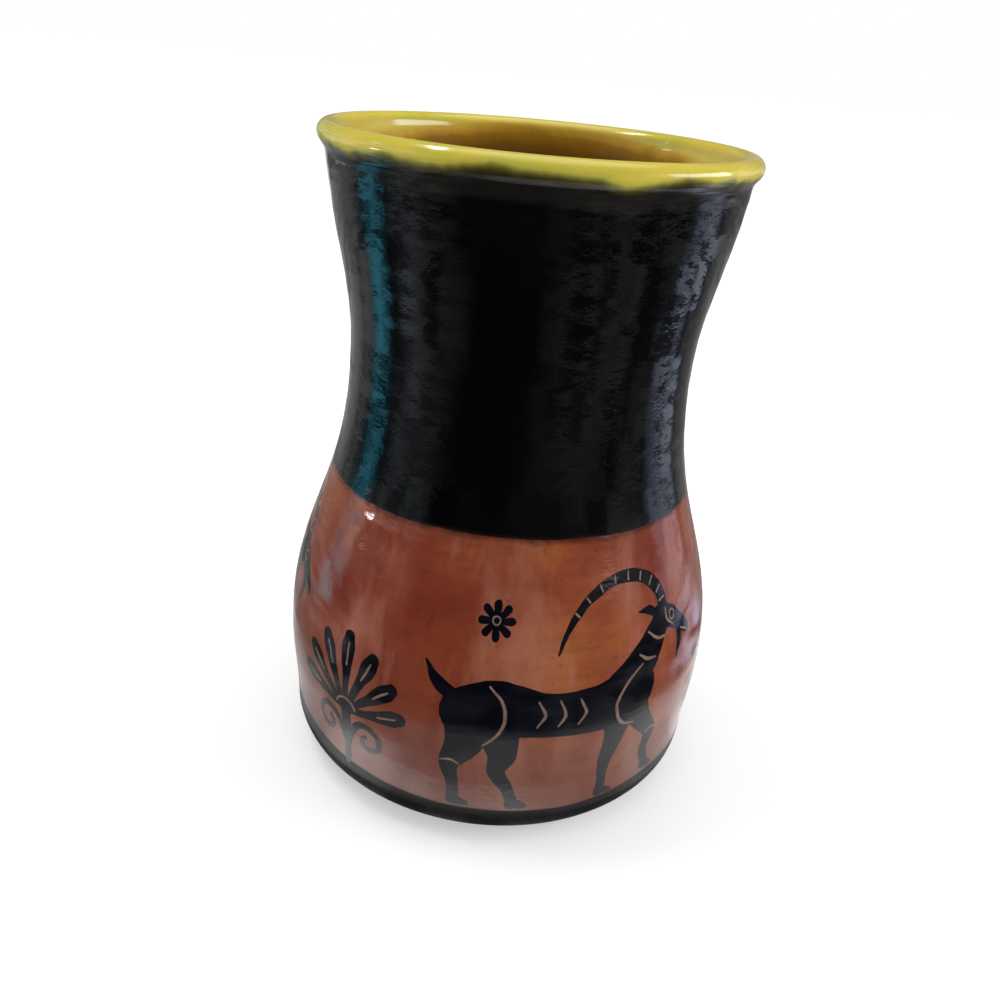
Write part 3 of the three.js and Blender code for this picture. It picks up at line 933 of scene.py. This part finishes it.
CAMERA_PLACE = (0.0, -237.76, 176.47)
CAMERA_PITCH = 0.431
CAMERA_YAW = -0.0081
CAMERA_ROLL = 0.0909
FOCAL_PIXELS = 993.7
IMAGE_PIXELS = 1000
SENSOR = 36.0
WORLD_LIGHT = 0.62
LAMP_TARGET = Vector((0, 0, 0.08))
WARM = (1.0, 0.98, 0.95)
ROSY = (1.0, 0.96, 0.97)
WHITE = (1.0, 1.0, 1.0)
WALL_DISTANCE = 0.8

# Colours of the studio cards.
TEAL = (0.11, 0.6, 0.81)
DIM_TEAL = (0.16, 0.19, 0.21)
DARK_TEAL = (0.05, 0.07, 0.09)
PALE_TEAL = (0.95, 1.0, 1.02)
BLUE_GREY = (0.3, 0.33, 0.38)
GREEN_GREY = (0.24, 0.28, 0.3)
DUSK = (0.44, 0.51, 0.68)
BRIGHT_DUSK = (0.62, 0.66, 0.82)
PINK = (0.9, 0.82, 0.95)
DIM_PINK = (0.5, 0.5, 0.6)
PALE_PINK = (1.0, 0.95, 1.0)


def make_camera():
    """A camera at the photograph's place, pitched down and rolled a little."""
    data = bpy.data.cameras.new("camera")
    data.sensor_width = SENSOR
    data.lens = SENSOR * FOCAL_PIXELS / IMAGE_PIXELS
    data.clip_start = 0.01
    camera = placed("camera", data)
    level = math.cos(CAMERA_PITCH)
    ahead = Vector((math.sin(CAMERA_YAW) * level, math.cos(CAMERA_YAW) * level, -math.sin(CAMERA_PITCH)))
    right = Vector((math.cos(CAMERA_YAW), -math.sin(CAMERA_YAW), 0))
    up = right.cross(ahead)
    turned_right = math.cos(CAMERA_ROLL) * right + math.sin(CAMERA_ROLL) * up
    turned_up = math.cos(CAMERA_ROLL) * up - math.sin(CAMERA_ROLL) * right
    axes = Matrix((turned_right, turned_up, -ahead)).transposed()
    camera.matrix_world = Matrix.Translation(Vector(CAMERA_PLACE) * MM) @ axes.to_4x4()
    bpy.context.scene.camera = camera


def seen_directly(n):
    """1 where the camera, a mirror or a clear thing looks at a surface, 0 where it only lights others."""
    path = n.add("ShaderNodeLightPath")
    mirrored = n.sum(path.outputs["Is Glossy Ray"], path.outputs["Is Transmission Ray"])
    return n.range(n.sum(path.outputs["Is Camera Ray"], mirrored), 0, 1)


def make_floor():
    """A white floor that keeps the pot's shadow and runs into the white backdrop."""
    size = 6.0
    drop = -0.00005  # keeps the floor out of the plane of the pot's base
    corners = [(-size, -size, drop), (size, -size, drop), (size, size, drop), (-size, size, drop)]
    mesh = bpy.data.meshes.new("floor")
    mesh.from_pydata(corners, [], [(0, 1, 2, 3)])
    n = Nodes(bpy.data.materials.new("floor"))
    seen = seen_directly(n)
    away = n.from_middle("LENGTH").outputs["Value"]
    glow = n.range(away, 0.15, 1.2, 0.42, 0.6)
    n.set(Base_Color=n.mix(seen, (0.86, 0.86, 0.86), (0.66, 0.66, 0.66)), Roughness=0.9)
    n.set(Emission_Color=(1, 1, 1), Emission_Strength=n.range(seen, 0, 1, 0, glow), Specular_IOR_Level=0.1)
    mesh.materials.append(n.owner)
    placed("floor", mesh)


def around(degrees, distance, height):
    """A place round the pot, in metres."""
    angle = math.radians(degrees)
    return Vector((distance * math.sin(angle), -distance * math.cos(angle), height))


def patches(n):
    """Noise that looks about as wide as it is tall when the pot mirrors it."""
    away = n.from_middle("LENGTH").outputs["Value"]
    node = n.add("ShaderNodeTexNoise", noise_dimensions="4D")
    n.put(node.inputs["Vector"], n.from_middle("NORMALIZE").outputs["Vector"])
    n.put(node.inputs["W"], n.range(away, 0, 1, 7.1, 15.1))
    n.put(node.inputs["Scale"], 3.2)
    n.put(node.inputs["Detail"], 1.5)
    n.put(node.inputs["Distortion"], 0.5)
    return node.outputs["Fac"]


def card_mesh(name, outline):
    """Faces all round the pot through (distance, height, cover) points."""
    turns = np.linspace(-180, 180, CARD_TURNS)
    verts = [around(turn, distance, height) for distance, height, _ in outline for turn in turns]
    index = np.arange(len(verts)).reshape(len(outline), len(turns))
    faces = np.stack([index[:-1, :-1], index[:-1, 1:], index[1:, 1:], index[1:, :-1]], 2).reshape(-1, 4)
    mesh = bpy.data.meshes.new(name)
    mesh.from_pydata(verts, [], faces.tolist())
    layer = mesh.attributes.new("cover", "FLOAT", "POINT")
    layer.data.foreach_set("value", np.repeat([cover for _, _, cover in outline], len(turns)))
    return mesh


def card_material(name, stops, blotches):
    """A glow that changes round the pot and lets through what lies behind it where its cover is thin."""
    n = Nodes(bpy.data.materials.new(name))
    to_front = n.range(n.axis("Y"), -2, 2, 2, -2)
    turn = n.math("ARCTAN2", n.axis("X"), to_front)
    ragged = n.vary(n.noise(n.place, 13, 2, 0.5, 0.4), -0.012, 0.012)
    share = n.sum(n.range(turn, -math.pi, math.pi), ragged)
    colour = n.ramp(share, *[((angle + 180) / 360, (*tint, cover)) for angle, tint, cover in stops])
    cover = n.math("MULTIPLY", colour.node.outputs["Alpha"], n.attribute("cover"))
    glow = n.add("ShaderNodeEmission")
    n.put(glow.inputs["Color"], colour)
    n.put(glow.inputs["Strength"], n.range(patches(n), 0.43, 0.57, *blotches))
    clear = n.add("ShaderNodeBsdfTransparent")
    blend = n.add("ShaderNodeMixShader")
    n.put(blend.inputs[0], cover)
    n.put(blend.inputs[1], clear.outputs[0])
    n.put(blend.inputs[2], glow.outputs[0])
    n.put(n.tree.nodes["Material Output"].inputs["Surface"], blend.outputs[0])
    return n.owner


def card(name, outline, stops, blotches=(0.5, 1.4)):
    """A studio card all round the pot, which only reflections see.

    outline gives its (distance, height, cover) points, stops its (degrees, colour, cover) round the
    pot, and blotches the least and greatest brightness of its uneven surface.
    """
    mesh = card_mesh(name, outline)
    mesh.materials.append(card_material(name, stops, blotches))
    piece = placed(name, mesh)
    piece.visible_camera = False
    piece.visible_diffuse = False
    piece.visible_shadow = False


def lying(height, *points):
    """The outline of a card that lies level, from its (distance, cover) points."""
    return [(distance, height, cover) for distance, cover in points]


def grey(brightness):
    return (brightness, brightness, brightness)


def make_ground_cards():
    """What the neck mirrors: a dim ground with a teal streak at the left and a dusky one at the right."""
    card(
        "far_ground", lying(0.0017, (0.09, 0), (0.105, 1), (1.0, 1)),
        [
            (-180, grey(0.33), 1), (-150, grey(0.33), 1), (-120, grey(0.26), 1), (124, grey(0.22), 1),
            (150, grey(0.26), 1), (180, grey(0.33), 1),
        ],
        (0.75, 1.25),
    )
    card(
        "ground", lying(0.002, (0.09, 0), (0.105, 1), (1.0, 1)),
        [
            (-122, grey(0.26), 0), (-108, DIM_TEAL, 1), (-100, TEAL, 1), (-91, TEAL, 1),
            (-86, DARK_TEAL, 1), (-74, BLUE_GREY, 1), (-57, grey(0.15), 1), (-40, grey(0.06), 1),
            (-30, grey(0.005), 1), (6, grey(0.005), 1), (24, grey(0.1), 1), (70, grey(0.13), 1),
            (88, grey(0.11), 1), (95, DUSK, 1), (100, DUSK, 1), (102, BRIGHT_DUSK, 1),
            (108, BRIGHT_DUSK, 1), (116, DUSK, 1), (126, grey(0.22), 0),
        ],
        (0.12, 1.75),
    )
    card(
        "left_ground", lying(0.0025, (0.09, 1), (0.16, 1), (0.2, 0)),
        [(-145, grey(0.3), 0), (-132, grey(0.3), 1), (-90, grey(0.28), 1), (-80, grey(0.28), 0)],
        (0.7, 1.3),
    )
    card(
        "near_ground", lying(0.001, (0.04, 1), (0.09, 1), (0.105, 0)),
        [
            (-140, grey(0.3), 0), (-115, grey(0.35), 0.8), (-50, grey(0.3), 0.8), (20, grey(0.3), 0.7),
            (60, grey(0.3), 0),
        ],
    )


def make_foot_cards():
    """What the lowest belly mirrors: light on the ground close to the foot, and painted shadow under it."""
    card(
        "foot_light", lying(0.0015, (0.056, 0), (0.059, 1), (0.067, 1), (0.076, 0)),
        [
            (-100, grey(0.7), 0), (-75, grey(0.7), 0.9), (-56, grey(0.9), 0.9), (-46, grey(1.7), 0.9),
            (-34, grey(1.7), 0.9), (-24, grey(0.6), 0.8), (-12, grey(0.45), 0.8), (25, grey(0.5), 0.8),
            (44, grey(0.85), 0.8), (100, grey(0.8), 0.9), (130, grey(0.8), 0),
        ],
        (0.8, 1.2),
    )
    card(
        "foot_glow", lying(0.0016, (0.06, 0), (0.062, 1), (0.0655, 1), (0.0685, 0)),
        [
            (-66, grey(1.8), 0), (-46, grey(2.0), 0.9), (-25, grey(2.0), 0.9), (-12, grey(1.3), 0.9),
            (14, grey(1.7), 0.9), (32, grey(1.0), 0.5), (40, grey(1.0), 0),
        ],
        (0.8, 1.2),
    )
    # Painted shadow: a dark ring on the ground under the foot's overhang, seen only in reflections.
    card(
        "contact", lying(0.0018, (0.04, 1), (0.055, 1), (0.058, 0)),
        [(-180, grey(0.08), 0.9), (180, grey(0.08), 0.9)],
    )


def make_wall_cards():
    """What the belly, the lip and the inside mirror: walls, dark at the front, and a dim hood over them."""
    card(
        "low_wall", [(WALL_DISTANCE, -0.05, 1), (WALL_DISTANCE, 0.1, 1)],
        [
            (-180, grey(0.5), 1), (-118, grey(0.6), 1), (-105, PALE_TEAL, 1), (-93, PALE_TEAL, 1),
            (-87, GREEN_GREY, 1), (-60, GREEN_GREY, 1), (-42, grey(0.02), 1), (30, grey(0.02), 1),
            (50, grey(0.13), 1), (90, grey(0.16), 1), (98, DIM_PINK, 1), (104, PINK, 1), (112, PINK, 1),
            (122, grey(0.6), 1), (180, grey(0.5), 1),
        ],
        (0.3, 1.6),
    )
    card(
        "high_wall", [(WALL_DISTANCE, 0.1, 1), (WALL_DISTANCE, 0.42, 1), (WALL_DISTANCE, 0.5, 0)],
        [
            (-180, grey(0.2), 1), (-145, grey(0.3), 1), (-112, grey(0.9), 1), (-60, grey(0.9), 1),
            (-46, grey(0.1), 1), (-38, grey(0.02), 1), (38, grey(0.02), 1), (48, grey(0.2), 1),
            (62, PALE_PINK, 1), (110, PALE_PINK, 1), (145, grey(0.3), 1), (180, grey(0.2), 1),
        ],
    )
    card(
        "hood", [(WALL_DISTANCE, 0.4, 0), (0.79, 0.5, 1), (0.45, 0.8, 1), (0.4, 0.84, 0)],
        [
            (-180, grey(0.15), 1), (-50, grey(0.15), 1), (-42, grey(0.02), 1), (42, grey(0.02), 1),
            (52, grey(0.15), 1), (180, grey(0.15), 1),
        ],
    )


def make_world():
    n = Nodes(bpy.data.worlds.new("studio"), "Background")
    n.set(Color=WHITE, Strength=n.range(seen_directly(n), 0, 1, WORLD_LIGHT, 1))
    bpy.context.scene.world = n.owner


def area_light(name, place, size, power, colour, roll=0.0):
    """A lamp that shines at the pot, turned about its own axis by a roll in degrees."""
    data = bpy.data.lights.new(name, "AREA")
    data.shape = "RECTANGLE"
    data.size, data.size_y = size
    data.energy = power
    data.color = colour
    light = placed(name, data)
    light.location = place
    aim = (LAMP_TARGET - place).to_track_quat("-Z", "Y")
    light.rotation_euler = (aim @ Quaternion((0, 0, 1), math.radians(roll))).to_euler()
    light.visible_camera = False


def make_lights():
    area_light("lamp", around(-98, 0.33, 0.74), (0.36, 0.06), 1.8, WARM, -15)
    area_light("small_lamp", around(-92, 0.68, 0.505), (0.036, 0.036), 0.1, WARM)
    area_light("low_lamp", around(-84.4, 0.75, 0.095), (0.07, 0.025), 0.22, WHITE)
    area_light("right_window", around(86, 0.66, 0.33), (0.5, 0.22), 2.4, ROSY)
    area_light("ceiling", Vector((0.1, 0.2, 1.6)), (1.2, 1.2), 5.0, WHITE)


make_pot()
make_frieze()
make_camera()
make_floor()
make_world()
make_lights()
make_ground_cards()
make_foot_cards()
make_wall_cards()
bpy.context.scene.view_settings.view_transform = "Standard"
